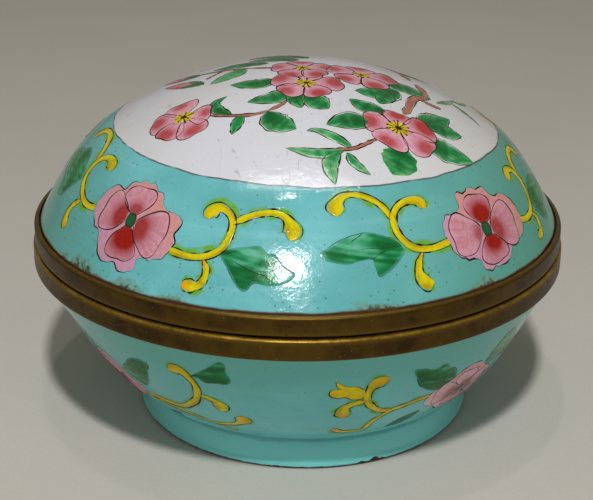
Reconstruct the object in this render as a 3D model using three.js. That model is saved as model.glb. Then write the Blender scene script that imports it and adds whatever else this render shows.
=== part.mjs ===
// A round lidded box of painted enamel on copper with brass rims, in four pieces:
// the domed lid, the lid's rim, the bowl on its foot ring, and the bowl's rim.
// Millimetres, +Z up. The origin is on the ground, under the middle of the rims.
import * as THREE from 'three';

// Driving dimensions.
const SEGMENTS = 60; // sides of every round piece
const WALL = 1.8; // copper with enamel on both faces
const PIECE_GAP = 0.3; // left between pieces that touch

// The lid: a flat crown inside the medallion's edge, then a steep shoulder down to the rim.
const LID_TOP_Z = 69.9;
const CROWN_RADIUS = 37.6;
const CROWN_EDGE_Z = 58.3;
const LID_EDGE_RADIUS = 51.3;
const LID_EDGE_Z = 40.7;
const SHOULDER_END_SLOPE = 61.8; // degrees below the horizontal, where it meets the rim

// The lid's rim: a brass band with a ledge that the enamelled shell sits on.
const LID_RIM_RADIUS = 52.5;
const LID_RIM_INNER_RADIUS = 49.6;
const LID_RIM_BOTTOM_Z = 37.0;
const LID_RIM_LEDGE_Z = 39.9;

// The bowl's rim: a brass band, and inside it a collar that keeps the lid in place.
const BOWL_RIM_RADIUS = 52.9;
const BOWL_RIM_TOP_Z = 36.6;
const BOWL_RIM_BOTTOM_Z = 32.6;
const BOWL_RIM_LEDGE_Z = 34.0;
const COLLAR_RADIUS = 49.2;
const COLLAR_INNER_RADIUS = 48.0;
const COLLAR_TOP_Z = 39.0;
const EDGE_ROUNDING = 0.6; // soft outer corners of both brass bands

// The bowl and its foot ring, soldered together before enamelling, so one piece.
const BOWL_EDGE_RADIUS = 52.0;
const BOWL_START_SLOPE = 31.9; // degrees above the horizontal, where the bowl leaves the foot
const BOWL_END_SLOPE = 60.9; // and where it meets the rim
const FOOT_RADIUS = 34.1;
const FOOT_NECK_RADIUS = 33.7;
const FOOT_HEIGHT = 6.4;
const FOOT_WALL = 1.6;
const UNDERSIDE_Z = 4.4; // the bowl's underside, in the middle of the foot ring
const FOOT_DRIFT = 1.5; // the foot was soldered on this far off centre, towards +X

const ENAMEL = { color: 0x5fa8a2, roughness: 0.25, metalness: 0.0 };
const BRASS = { color: 0x5c4322, roughness: 0.45, metalness: 0.9 };

const radians = THREE.MathUtils.degToRad;
const degrees = THREE.MathUtils.radToDeg;
const point = (radius, z) => new THREE.Vector2(radius, z);

// A smooth curve from one point to another, leaving and arriving at the given slopes.
function sweep(from, to, startSlope, endSlope, steps) {
  const reach = from.distanceTo(to) / 3;
  const leaving = point(Math.cos(radians(startSlope)), Math.sin(radians(startSlope)));
  const arriving = point(Math.cos(radians(endSlope)), Math.sin(radians(endSlope)));
  const first = from.clone().addScaledVector(leaving, reach);
  const second = to.clone().addScaledVector(arriving, -reach);
  return new THREE.CubicBezierCurve(from, first, second, to).getPoints(steps);
}

// A quarter circle about a centre, from one angle to the other.
function corner(radius, z, rounding, fromDegrees, toDegrees, steps = 2) {
  const arc = new THREE.EllipseCurve(
    radius, z, rounding, rounding, radians(fromDegrees), radians(toDegrees), toDegrees < fromDegrees);
  return arc.getPoints(steps);
}

// The same line moved sideways by a distance, to the right of its direction when that is positive.
function beside(line, distance) {
  return line.map((here, i) => {
    const before = line[Math.max(i - 1, 0)];
    const after = line[Math.min(i + 1, line.length - 1)];
    const along = after.clone().sub(before).normalize();
    const moved = point(here.x + along.y * distance, here.y - along.x * distance);
    return here.x === 0 ? point(0, here.y - Math.sign(along.x) * distance) : moved;
  });
}

// Turns a closed section, given as radius and height, into a ring or vessel standing on +Z.
function turned(name, section, look) {
  const geometry = new THREE.LatheGeometry(section, SEGMENTS);
  geometry.rotateX(Math.PI / 2);
  const mesh = new THREE.Mesh(geometry, new THREE.MeshStandardMaterial(look));
  mesh.name = name;
  return mesh;
}

function lid() {
  const top = point(0, LID_TOP_Z);
  const crownEdge = point(CROWN_RADIUS, CROWN_EDGE_Z);
  const overCrown = point(CROWN_RADIUS / 2, LID_TOP_Z);
  const crown = new THREE.QuadraticBezierCurve(top, overCrown, crownEdge);
  const crownEndSlope = degrees(Math.atan2(LID_TOP_Z - CROWN_EDGE_Z, CROWN_RADIUS / 2));
  const edge = point(LID_EDGE_RADIUS, LID_EDGE_Z);
  const shoulder = sweep(crownEdge, edge, -crownEndSlope, -SHOULDER_END_SLOPE, 7);
  const outside = [...crown.getPoints(5), ...shoulder.slice(1)];
  const seatZ = LID_RIM_LEDGE_Z + PIECE_GAP;
  const inside = beside(outside, WALL).filter((p) => p.y > seatZ + WALL / 2);
  const innerEdge = point(LID_EDGE_RADIUS - WALL, seatZ);
  const section = [...inside, innerEdge, point(LID_EDGE_RADIUS, seatZ), ...outside.reverse()];
  return turned('lid', section, ENAMEL);
}

function lidRim() {
  const lipRadius = LID_EDGE_RADIUS + PIECE_GAP;
  const round = EDGE_ROUNDING / 2;
  const section = [
    point(LID_RIM_INNER_RADIUS, LID_RIM_BOTTOM_Z),
    ...corner(LID_RIM_RADIUS - round, LID_RIM_BOTTOM_Z + round, round, -90, 0),
    ...corner(LID_RIM_RADIUS - EDGE_ROUNDING, LID_EDGE_Z - EDGE_ROUNDING, EDGE_ROUNDING, 0, 90, 3),
    point(lipRadius, LID_EDGE_Z),
    point(lipRadius, LID_RIM_LEDGE_Z),
    point(LID_RIM_INNER_RADIUS, LID_RIM_LEDGE_Z),
    point(LID_RIM_INNER_RADIUS, LID_RIM_BOTTOM_Z),
  ];
  return turned('lid_rim', section, BRASS);
}

function bowlRim() {
  const lipRadius = BOWL_EDGE_RADIUS + PIECE_GAP;
  const round = EDGE_ROUNDING / 2;
  const section = [
    point(lipRadius, BOWL_RIM_BOTTOM_Z),
    ...corner(BOWL_RIM_RADIUS - round, BOWL_RIM_BOTTOM_Z + round, round, -90, 0),
    ...corner(BOWL_RIM_RADIUS - EDGE_ROUNDING, BOWL_RIM_TOP_Z - EDGE_ROUNDING, EDGE_ROUNDING, 0, 90, 3),
    point(COLLAR_RADIUS, BOWL_RIM_TOP_Z),
    ...corner(COLLAR_RADIUS - round, COLLAR_TOP_Z - round, round, 0, 90),
    point(COLLAR_INNER_RADIUS, COLLAR_TOP_Z),
    point(COLLAR_INNER_RADIUS, BOWL_RIM_LEDGE_Z),
    point(lipRadius, BOWL_RIM_LEDGE_Z),
    point(lipRadius, BOWL_RIM_BOTTOM_Z),
  ];
  return turned('bowl_rim', section, BRASS);
}

// Slides each level of the bowl towards +X: not at all at the rim, by FOOT_DRIFT on the ground.
function driftFoot(geometry) {
  const place = geometry.getAttribute('position');
  for (let i = 0; i < place.count; i += 1) {
    const share = 1 - Math.min(place.getZ(i) / BOWL_RIM_BOTTOM_Z, 1);
    place.setX(i, place.getX(i) + FOOT_DRIFT * share);
  }
}

function bowl() {
  const neck = point(FOOT_NECK_RADIUS, FOOT_HEIGHT);
  const rimEdge = point(BOWL_EDGE_RADIUS, BOWL_RIM_BOTTOM_Z);
  const outside = sweep(neck, rimEdge, BOWL_START_SLOPE, BOWL_END_SLOPE, 9);
  const floorEdge = point(FOOT_NECK_RADIUS - FOOT_WALL, UNDERSIDE_Z + 1);
  const underside = sweep(point(0, UNDERSIDE_Z), floorEdge, 0, 8, 4);
  const topZ = BOWL_RIM_LEDGE_Z - PIECE_GAP;
  const inside = beside([...underside, ...outside.slice(1)], -WALL).filter((p) => p.y < topZ - WALL / 2);
  const section = [
    ...underside,
    point(FOOT_RADIUS - FOOT_WALL, 0),
    point(FOOT_RADIUS, 0),
    ...outside,
    point(BOWL_EDGE_RADIUS, topZ),
    point(BOWL_EDGE_RADIUS - WALL, topZ),
    ...inside.reverse(),
  ];
  const mesh = turned('bowl', section, ENAMEL);
  driftFoot(mesh.geometry);
  return mesh;
}

const group = new THREE.Group();
group.add(bowl(), bowlRim(), lidRim(), lid());

export default group;
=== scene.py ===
import math

import bpy
import numpy as np
from mathutils import Matrix, Vector


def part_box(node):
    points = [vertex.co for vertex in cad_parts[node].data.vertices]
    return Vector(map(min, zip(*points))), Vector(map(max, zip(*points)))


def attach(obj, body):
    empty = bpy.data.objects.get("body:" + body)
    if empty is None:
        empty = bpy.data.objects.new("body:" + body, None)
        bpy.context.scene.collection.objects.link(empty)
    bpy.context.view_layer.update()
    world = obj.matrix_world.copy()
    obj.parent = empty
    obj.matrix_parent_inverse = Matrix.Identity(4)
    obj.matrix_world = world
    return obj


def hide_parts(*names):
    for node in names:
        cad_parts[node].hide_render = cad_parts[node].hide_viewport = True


# A round lidded box of painted enamel on copper with brass rims. The frame is in metres, +Z up,
# with the front towards -Y. Sizes below are in millimetres and are turned to metres at the mesh.
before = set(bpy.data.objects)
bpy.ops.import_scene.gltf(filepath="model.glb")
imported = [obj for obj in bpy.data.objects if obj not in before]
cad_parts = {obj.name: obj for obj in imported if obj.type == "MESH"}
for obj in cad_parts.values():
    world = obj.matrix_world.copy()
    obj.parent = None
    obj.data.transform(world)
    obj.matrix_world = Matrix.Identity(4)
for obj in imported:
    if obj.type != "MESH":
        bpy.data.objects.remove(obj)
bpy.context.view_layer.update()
MM = 0.001

# ---------------------------------------------------------------------------------------------
# The viewpoint: a camera standing in front and a little above, aimed just under the middle of the
# box and turned a touch about its own axis.
CAMERA_HEIGHT_ANGLE = math.radians(22.6)
CAMERA_DISTANCE = 288.75 * MM
CAMERA_LENS = 85.66  # millimetres, on the default 36 mm sensor
CAMERA_ROLL = 0.0091
AIM = Vector((-0.18, 0.0, 31.2)) * MM


def stand_camera():
    """Looks from AIM + distance * back, where back tilts up from -Y by the height angle."""
    rise, reach = math.sin(CAMERA_HEIGHT_ANGLE), math.cos(CAMERA_HEIGHT_ANGLE)
    right, up, back = Vector((1, 0, 0)), Vector((0, rise, reach)), Vector((0, -reach, rise))
    turned_right = right * math.cos(CAMERA_ROLL) + up * math.sin(CAMERA_ROLL)
    turned_up = up * math.cos(CAMERA_ROLL) - right * math.sin(CAMERA_ROLL)
    camera = bpy.data.objects.new("camera", bpy.data.cameras.new("camera"))
    camera.data.lens = CAMERA_LENS
    camera.data.clip_start = 0.01
    turn = Matrix((turned_right, turned_up, back)).transposed().to_4x4()
    camera.matrix_world = Matrix.Translation(AIM + back * CAMERA_DISTANCE) @ turn
    bpy.context.scene.collection.objects.link(camera)
    bpy.context.scene.camera = camera


stand_camera()

# ---------------------------------------------------------------------------------------------
# The lid: a dome raised from sheet copper, enamelled on both faces. Outside it is turquoise with
# a white round field on the crown, edged by a thin dark line. It sits in the brass lid rim.
lid_low, lid_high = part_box("lid")
LID_TOP_Z = lid_high.z / MM
LID_FOOT_Z = lid_low.z / MM
LID_EDGE_RADIUS = 51.3
LID_EDGE_Z = 40.7
LID_EDGE_SLOPE = 61.8  # degrees below the horizontal
CROWN_RADIUS = 37.6
CROWN_EDGE_Z = 58.3
WALL = 1.8
ROUND_STEPS = 384  # sides of every turned piece
WHITE_FIELD_MIDDLE = (1.4, 0.4)
WHITE_FIELD_RADIUS = 37.7
FIELD_LINE_WIDTH = 0.34
SCUFF_MIDDLE = (-5, -29)  # where the white field is scratched most


def sweep(start, end, start_slope, end_slope, steps):
    """A cubic curve between two (radius, height) points, leaving and arriving at given slopes."""
    start, end = np.array(start, float), np.array(end, float)
    reach = np.linalg.norm(end - start) / 3
    leaving = np.array([math.cos(math.radians(start_slope)), math.sin(math.radians(start_slope))])
    arriving = np.array([math.cos(math.radians(end_slope)), math.sin(math.radians(end_slope))])
    t = np.linspace(0, 1, steps + 1)[:, None]
    first, second = start + reach * leaving, end - reach * arriving
    return (1 - t) ** 3 * start + 3 * (1 - t) ** 2 * t * first + 3 * (1 - t) * t ** 2 * second + t ** 3 * end


def outwards(line):
    """Unit vectors square to a (radius, height) line, to the left of its direction."""
    along = np.gradient(line, axis=0)
    along /= np.linalg.norm(along, axis=1, keepdims=True)
    return np.stack([-along[:, 1], along[:, 0]], -1)


def lengths_along(line):
    """Running length of a line, zero at its first point."""
    return np.r_[0, np.cumsum(np.linalg.norm(np.diff(line, axis=0), axis=1))]


def lid_outline():
    """Crown: a parabola from the top to the crown's edge. Shoulder: a sweep on down to the rim.
    Gives the whole line and the crown's share of its length in millimetres."""
    t = np.linspace(0, 1, 49)[:, None]
    top, edge = np.array([0, LID_TOP_Z]), np.array([CROWN_RADIUS, CROWN_EDGE_Z])
    over = np.array([CROWN_RADIUS / 2, LID_TOP_Z])
    crown = (1 - t) ** 2 * top + 2 * t * (1 - t) * over + t ** 2 * edge
    crown_slope = math.degrees(math.atan2(LID_TOP_Z - CROWN_EDGE_Z, CROWN_RADIUS / 2))
    shoulder = sweep(edge, (LID_EDGE_RADIUS, LID_EDGE_Z), -crown_slope, -LID_EDGE_SLOPE, 44)
    return np.vstack([crown, shoulder[1:]]), lengths_along(crown)[-1]


LID_LINE, CROWN_RUN = lid_outline()


def grid_quads(rows, columns, rows_close=False, columns_close=True):
    """The faces of a grid of spots numbered row by row, joined to its start where it closes."""
    row = np.arange(rows if rows_close else rows - 1)[:, None]
    column = np.arange(columns if columns_close else columns - 1)
    below, beside = (row + 1) % rows, (column + 1) % columns
    corners = np.broadcast_arrays(row * columns + column, below * columns + column,
                                  below * columns + beside, row * columns + beside)
    return np.stack(corners, -1).reshape(-1, 4)


def ring_mesh(name, line, closed=False, shift=None):
    """Turns a (radius, height) line about Z. The line runs clockwise, down the outside of the
    piece, so faces look outwards. Ends on the axis become single points."""
    line = np.asarray(line, float)
    angle = np.arange(ROUND_STEPS) * 2 * math.pi / ROUND_STEPS
    rim = line if closed else line[1:-1]
    z = np.repeat(rim[:, 1:], ROUND_STEPS, axis=1)
    spots = np.stack([rim[:, :1] * np.sin(angle), -rim[:, :1] * np.cos(angle), z], -1).reshape(-1, 3)
    faces = grid_quads(len(rim), ROUND_STEPS, closed).tolist()
    if not closed:
        side, first, end_row = np.arange(ROUND_STEPS), len(spots), len(spots) - ROUND_STEPS
        beside = (side + 1) % ROUND_STEPS
        spots = np.vstack([spots, [0, 0, line[0, 1]], [0, 0, line[-1, 1]]])
        faces += np.stack([np.full_like(side, first), side, beside], -1).tolist()
        faces += np.stack([np.full_like(side, first + 1), end_row + beside, end_row + side], -1).tolist()
    if shift is not None:
        spots[:, 0] += shift(spots[:, 2])
    return solid_piece(name, spots, faces), spots


def solid_piece(name, spots, faces, sharp_angle=35):
    """A smooth-shaded mesh object from millimetre spots, with creases above an angle kept sharp."""
    mesh = bpy.data.meshes.new(name)
    mesh.from_pydata((np.asarray(spots) * MM).tolist(), [], faces)
    mesh.polygons.foreach_set("use_smooth", np.ones(len(faces), bool))
    mesh.set_sharp_from_angle(angle=math.radians(sharp_angle))
    mesh.update()
    piece = bpy.data.objects.new(name, mesh)
    bpy.context.scene.collection.objects.link(piece)
    return piece


def lid_section():
    """Outside line, the edge in the rim, and back under the dome one wall's thickness inside."""
    inside = LID_LINE - outwards(LID_LINE) * WALL
    inside[0] = (0, LID_TOP_Z - WALL)
    inside = inside[inside[:, 1] > LID_FOOT_Z + WALL / 2]
    foot = [(LID_EDGE_RADIUS, LID_FOOT_Z), (LID_EDGE_RADIUS - WALL, LID_FOOT_Z)]
    return np.vstack([LID_LINE, foot, inside[1:][::-2], inside[:1]])


def rgb(red, green, blue):
    """A display colour, 0 to 255, as linear light."""
    share = np.array([red, green, blue]) / 255
    return np.where(share <= 0.04045, share / 12.92, ((share + 0.055) / 1.055) ** 2.4)


def feed(tree, node, inputs):
    """Sets a node's inputs to values, or joins them to sockets."""
    for key, value in inputs.items():
        socket = node.inputs[key]
        if isinstance(value, bpy.types.NodeSocket):
            tree.links.new(value, socket)
        elif isinstance(value, np.ndarray) and socket.type == "RGBA":
            socket.default_value = (*value, 1)
        else:
            socket.default_value = value


def add(tree, kind, inputs=None, **settings):
    """A shader node with its settings, and with its inputs set to values or joined to sockets."""
    node = tree.nodes.new("ShaderNode" + kind)
    for key, value in settings.items():
        setattr(node, key, value)
    feed(tree, node, inputs or {})
    return node


def new_material(name):
    """A material, its node tree, and a socket that gives the place of each spot on its piece."""
    material = bpy.data.materials.new(name)
    material.use_nodes = True
    tree = material.node_tree
    return material, tree, add(tree, "TexCoord").outputs["Object"]


def sums(tree, operation, *values):
    """One Math node."""
    return add(tree, "Math", dict(enumerate(values)), operation=operation).outputs[0]


def times(tree, first, second):
    """Two values multiplied."""
    return sums(tree, "MULTIPLY", first, second)


def between(tree, value, low, high, to_low=0.0, to_high=1.0):
    """Smooth step of a value from low to high."""
    inputs = {"Value": value, "From Min": low, "From Max": high, "To Min": to_low, "To Max": to_high}
    return add(tree, "MapRange", inputs, interpolation_type="SMOOTHSTEP").outputs[0]


def over(tree, share, under, top):
    """One colour laid over another by a share from 0 to 1."""
    node = add(tree, "Mix", {0: share, 6: under, 7: top}, data_type="RGBA")
    return node.outputs[2]


def cloud(tree, where, size, detail=2.0, rough=0.5, stretch=None):
    """Soft noise with features about size millimetres across, optionally stretched."""
    if stretch:
        where = add(tree, "Mapping", {"Vector": where, "Scale": stretch}).outputs[0]
    inputs = {"Vector": where, "Scale": 1 / (size * MM), "Detail": detail, "Roughness": rough}
    return add(tree, "TexNoise", inputs).outputs[0]


def pinholes(tree, where, spacing, width, kept):
    """Tiny round pits, one to a cell of the given spacing, with only a share of the cells kept."""
    cells = add(tree, "TexVoronoi", {"Vector": where, "Scale": 1 / (spacing * MM)})
    close = between(tree, cells.outputs["Distance"], width / spacing, 0.4 * width / spacing)
    luck = add(tree, "SeparateColor", {0: cells.outputs["Color"]}).outputs[0]
    return times(tree, close, sums(tree, "LESS_THAN", luck, kept))


TURQUOISE = rgb(112, 188, 194)
TURQUOISE_DEEP = rgb(96, 172, 176)
TURQUOISE_PALE = rgb(136, 202, 204)
TURQUOISE_GREENISH = rgb(84, 150, 132)
TURQUOISE_SMUDGED = rgb(72, 136, 136)
WHITE = rgb(209, 210, 218)
WHITE_WARM_GRIME_AND_LIGHT = rgb(200, 198, 188)
LINE_BROWN = rgb(52, 38, 34)
SCRATCH_GREY = rgb(128, 114, 102)
CORROSION_GREEN = rgb(112, 152, 132)
CORROSION_DARK = rgb(44, 52, 38)
COPPER_BARE = rgb(80, 46, 28)


def turquoise_ground(tree, where, green_share):
    """Turquoise enamel: cloudy, greener where its firing ran hotter, with faint brushed layers
    running round and dark pinholes."""
    clouds = cloud(tree, where, 14, 4, 0.6)
    layers = cloud(tree, where, 30, 3, 0.6, (0.6, 0.6, 14))
    colour = over(tree, between(tree, clouds, 0.35, 0.7), TURQUOISE, TURQUOISE_DEEP)
    colour = over(tree, between(tree, layers, 0.52, 0.75, 0, 0.45), colour, TURQUOISE_PALE)
    colour = over(tree, green_share, colour, TURQUOISE_GREENISH)
    smudges = between(tree, cloud(tree, where, 6, 5, 0.7), 0.58, 0.78, 0, 0.4)
    colour = over(tree, smudges, colour, TURQUOISE_SMUDGED)
    large_pits, small_pits = pinholes(tree, where, 1.5, 0.24, 0.6), pinholes(tree, where, 0.9, 0.13, 0.5)
    pits = sums(tree, "MAXIMUM", large_pits, small_pits)
    return over(tree, times(tree, pits, 0.62), colour, LINE_BROWN)


def hairlines(tree, where, size, stretch, width):
    """Thin wandering scratches: the level lines of a stretched noise, kept only in patches."""
    level = sums(tree, "ABSOLUTE", sums(tree, "SUBTRACT", cloud(tree, where, size, 1, 0.4, stretch), 0.5))
    patches = between(tree, cloud(tree, where, size * 0.5, 2), 0.5, 0.62)
    return times(tree, between(tree, level, width, width * 0.3), patches)


def lid_ground(tree, where):
    """The lid's colours before any painting: white field, its line, turquoise, and the worn edge."""
    spot = add(tree, "SeparateXYZ", {0: where})
    flat = add(tree, "CombineXYZ", {0: spot.outputs[0], 1: spot.outputs[1]}).outputs[0]
    middle = (WHITE_FIELD_MIDDLE[0] * MM, WHITE_FIELD_MIDDLE[1] * MM, 0)
    away = add(tree, "VectorMath", {0: flat, 1: middle}, operation="DISTANCE").outputs["Value"]
    shake = between(tree, cloud(tree, where, 6), 0.2, 0.8, -0.18 * MM, 0.18 * MM)
    off_line = sums(tree, "SUBTRACT", sums(tree, "ADD", away, shake), WHITE_FIELD_RADIUS * MM)
    inside = between(tree, off_line, 0.06 * MM, -0.06 * MM)

    # The white grows warmer in grime patches, which is dirt, and towards the right side, which is painted
    # warm light.
    grime = between(tree, cloud(tree, where, 22, 4, 0.6), 0.4, 0.75, 0, 0.55)
    right_side_warm_light = between(tree, spot.outputs[0], 5 * MM, 38 * MM, 0, 0.6)
    white = over(tree, sums(tree, "MAXIMUM", grime, right_side_warm_light), WHITE, WHITE_WARM_GRIME_AND_LIGHT)
    white = over(tree, times(tree, pinholes(tree, where, 1.9, 0.2, 0.5), 0.5), white, LINE_BROWN)
    scuffed = (SCUFF_MIDDLE[0] * MM, SCUFF_MIDDLE[1] * MM, 0)
    scuff_away = add(tree, "VectorMath", {0: flat, 1: scuffed}, operation="DISTANCE").outputs["Value"]
    scuffs = between(tree, scuff_away, 14 * MM, 5 * MM, 0.08, 0.42)
    scratches = times(tree, hairlines(tree, where, 5.0, (1.4, 0.45, 1.0), 0.013), scuffs)
    white = over(tree, scratches, white, SCRATCH_GREY)
    greened = sums(tree, "MAXIMUM", between(tree, spot.outputs[0], 0, 44 * MM, 0, 0.9),
                   between(tree, spot.outputs[0], -26 * MM, -50 * MM, 0, 0.7))
    colour = over(tree, inside, turquoise_ground(tree, where, greened), white)

    near_line = between(tree, sums(tree, "ABSOLUTE", off_line),
                        FIELD_LINE_WIDTH * MM * 0.6, FIELD_LINE_WIDTH * MM * 0.25)
    broken = between(tree, cloud(tree, where, 5, 3), 0.36, 0.52, 0.25, 0.8)
    colour = over(tree, times(tree, near_line, broken), colour, LINE_BROWN)

    wear = add(tree, "Attribute", attribute_name="wear").outputs["Fac"]
    ragged = sums(tree, "ADD", wear, between(tree, cloud(tree, where, 2.6, 5, 0.65), 0.25, 0.75, -0.4, 0.4))
    stained = between(tree, ragged, 0.26, 0.64, 0, 0.8)
    chipped = between(tree, ragged, 0.74, 0.86)
    rotten = between(tree, cloud(tree, where, 0.9, 4, 0.6), 0.45, 0.75)
    rot = over(tree, rotten, CORROSION_GREEN, CORROSION_DARK)
    colour = over(tree, stained, colour, rot)
    colour = over(tree, times(tree, chipped, 0.8), colour, CORROSION_DARK)
    edge_line = between(tree, sums(tree, "ADD", spot.outputs[2], times(tree, shake, 0.7)),
                        (LID_EDGE_Z + 0.45) * MM, (LID_EDGE_Z + 0.1) * MM)
    below = sums(tree, "GREATER_THAN", spot.outputs[2], (LID_EDGE_Z - 1) * MM)
    return over(tree, times(tree, edge_line, below), colour, COPPER_BARE), chipped


def glassy_skin(tree, where, dull):
    """The fired surface: orange peel, slow waves from hammering, and faint rub marks."""
    waves, peel = cloud(tree, where, 11, 1, 0.4), cloud(tree, where, 1.5, 3, 0.6)
    bump = add(tree, "Bump", {"Height": waves, "Strength": 0.6, "Distance": 0.2 * MM}).outputs[0]
    bump = add(tree, "Bump", {"Height": peel, "Strength": 0.7, "Distance": 0.075 * MM, "Normal": bump})
    rubbed = between(tree, cloud(tree, where, 9, 4, 0.65), 0.35, 0.75, 0.08, 0.22)
    return sums(tree, "ADD", rubbed, times(tree, dull, 0.35)), bump.outputs[0]


def enamel(name, ground, painted, gloss=0.5):
    """Glass over copper, shinier as its gloss rises. Painted pieces lay their own paint colour over
    the same ground, so a thin wash fades into the ground without any see-through material."""
    material, tree, where = new_material(name)
    colour, dull = ground(tree, where)
    if painted:
        paint = add(tree, "Attribute", attribute_name="paint")
        grain = between(tree, cloud(tree, where, 0.8, 4, 0.7), 0.25, 0.75, 0.86, 1.08)
        tone = add(tree, "VectorMath", {0: paint.outputs["Color"], 3: grain}, operation="SCALE").outputs[0]
        colour = over(tree, paint.outputs["Alpha"], colour, tone)
    roughness, normal = glassy_skin(tree, where, dull)
    feed(tree, tree.nodes["Principled BSDF"], {"Base Color": colour, "Roughness": roughness,
                                               "Normal": normal, "IOR": 1.47, "Specular IOR Level": gloss})
    return material


def lid_wear(spots):
    """How chipped the edge is: strongest at the rim, in stretches at certain turns of the lid."""
    turn = np.degrees(np.arctan2(spots[:, 0], -spots[:, 1]))
    height = spots[:, 2] - LID_EDGE_Z
    stretches = ((-50, 8, 1.0), (-36, 6, 0.85), (-25, 4, 0.8), (15, 5, 0.9), (41, 4, 1.0), (60, 5, 0.4),
                 (100, 6, 0.7), (-95, 5, 0.6), (150, 8, 0.8), (-140, 9, 0.7))
    share = np.full(len(spots), 0.1)
    for middle, half, strength in stretches:
        share = np.maximum(share, 0.75 * strength * np.exp(-((turn - middle) / half) ** 2))
    reach = 0.4 + 2.0 * share
    fading = np.exp(-(np.maximum(height, 0) / reach) ** 2)
    return np.where(height > -1, np.clip(share + 0.25, 0, 1) * fading, 0)


def finish_turned(piece, layer, values, material, node):
    """Gives a turned piece its wear, material and place among the parts."""
    piece.data.attributes.new(layer, "FLOAT", "POINT").data.foreach_set("value", values)
    piece.data.materials.append(material)
    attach(piece, "root")
    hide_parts(node)


lid_shell, lid_spots = ring_mesh("lid_shell", lid_section())
finish_turned(lid_shell, "wear", lid_wear(lid_spots), enamel("lid enamel", lid_ground, False), "lid")

# ---------------------------------------------------------------------------------------------
# The spray on the white field: blossoms, buds and leaves on a twig, painted in enamel colours and
# fired on, each stroke standing a few hundredths of a millimetre proud. Outlines are brush-thin.
PAINT_LIFT = 0.05
SUNK_EDGE = 0.03  # every stroke's edge dips this far into the ground, so no rim shows
OUTLINE = rgb(44, 24, 20)
LEAF_DEEP = rgb(2, 92, 36)
LEAF_MID = rgb(14, 132, 68)
LEAF_PALE = rgb(96, 176, 112)
LEAF_TONES = (LEAF_DEEP, LEAF_MID, LEAF_PALE)
MID_TONES = (LEAF_MID, LEAF_MID, LEAF_PALE)
PALE_TONES = (LEAF_MID, LEAF_PALE, LEAF_PALE)
YOUNG_TONES = (LEAF_MID, LEAF_PALE, rgb(150, 206, 150))
GRASS_TONES = (LEAF_MID, rgb(150, 176, 140), rgb(190, 200, 180))
PETAL_RED = rgb(170, 40, 36)
PETAL_PINK = rgb(206, 132, 148)
PETAL_PALE = rgb(222, 176, 194)
STAMEN_YELLOW = rgb(214, 190, 34)
STAMEN_DARK = rgb(40, 24, 12)
TWIG_BROWN = rgb(156, 98, 78)


def on_line(line, turn, run, lift):
    """The spot at a running length down a turned line, at a turn in degrees, lifted off it."""
    length, out = lengths_along(line), outwards(line)
    radius = np.interp(run, length, line[:, 0]) + lift * np.interp(run, length, out[:, 0])
    height = np.interp(run, length, line[:, 1]) + lift * np.interp(run, length, out[:, 1])
    angle = np.radians(turn)
    return np.stack(np.broadcast_arrays(radius * np.sin(angle), -radius * np.cos(angle), height), -1)


def on_crown(x, y, lift):
    """A spot on the crown under the point x, y as seen from above."""
    run = np.interp(np.hypot(x, y), LID_LINE[:, 0], lengths_along(LID_LINE))
    return on_line(LID_LINE, np.degrees(np.arctan2(x, -y)), run, lift)


def smooth_path(points, count, closed=False):
    """Evenly spaced points on a curve that runs through the given ones and bends like a spline."""
    p = np.asarray(points, float)
    p = np.vstack([p[-1:], p, p[:2]]) if closed else np.vstack([2 * p[0] - p[1], p, 2 * p[-1] - p[-2]])
    spans = len(p) - 3
    t = np.linspace(0, spans, spans * 16 + 1)
    i = np.minimum(t.astype(int), spans - 1)
    f = (t - i)[:, None]
    a, b, c, d = p[i], p[i + 1], p[i + 2], p[i + 3]
    curve = b + 0.5 * f * (c - a + f * (2 * a - 5 * b + 4 * c - d + f * (3 * (b - c) + d - a)))
    run = lengths_along(curve)
    even = np.linspace(0, run[-1], count, endpoint=not closed)
    return np.stack([np.interp(even, run, curve[:, 0]), np.interp(even, run, curve[:, 1])], -1)


def ripple(t, seed, waves=6):
    """Smooth repeatable wobble between about -1 and 1, periodic over t from 0 to 1."""
    chance = np.random.default_rng(seed)
    t = np.asarray(t, float)[..., None]
    turns = np.arange(1, waves + 1)
    rounds = np.cos(2 * math.pi * (turns * t + chance.random(waves)))
    return (rounds * chance.normal(size=waves)).sum(-1) / waves ** 0.5


def cover(colour, share=1.0):
    """A colour with its cover, from 0 for bare ground to 1 for solid paint."""
    colour, share = np.asarray(colour, float), np.asarray(share, float)
    shape = np.broadcast_shapes(colour.shape[:-1], share.shape)
    share = np.broadcast_to(share, shape)[..., None]
    return np.concatenate([np.broadcast_to(colour, shape + (3,)), share], -1)


def mix(first, second, share):
    """Colours blended by a share from 0 to 1."""
    share = np.clip(np.asarray(share, float), 0, 1)[..., None]
    return first * (1 - share) + second * share


def facing_up(spots, up, faces):
    """The same faces, turned over if they look towards the copper."""
    first, second, third = (spots[faces[:, corner]] for corner in range(3))
    facing = np.cross(second - first, third - first)
    return faces if (facing * up[faces[:, 1]]).sum() > 0 else faces[:, ::-1]


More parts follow.
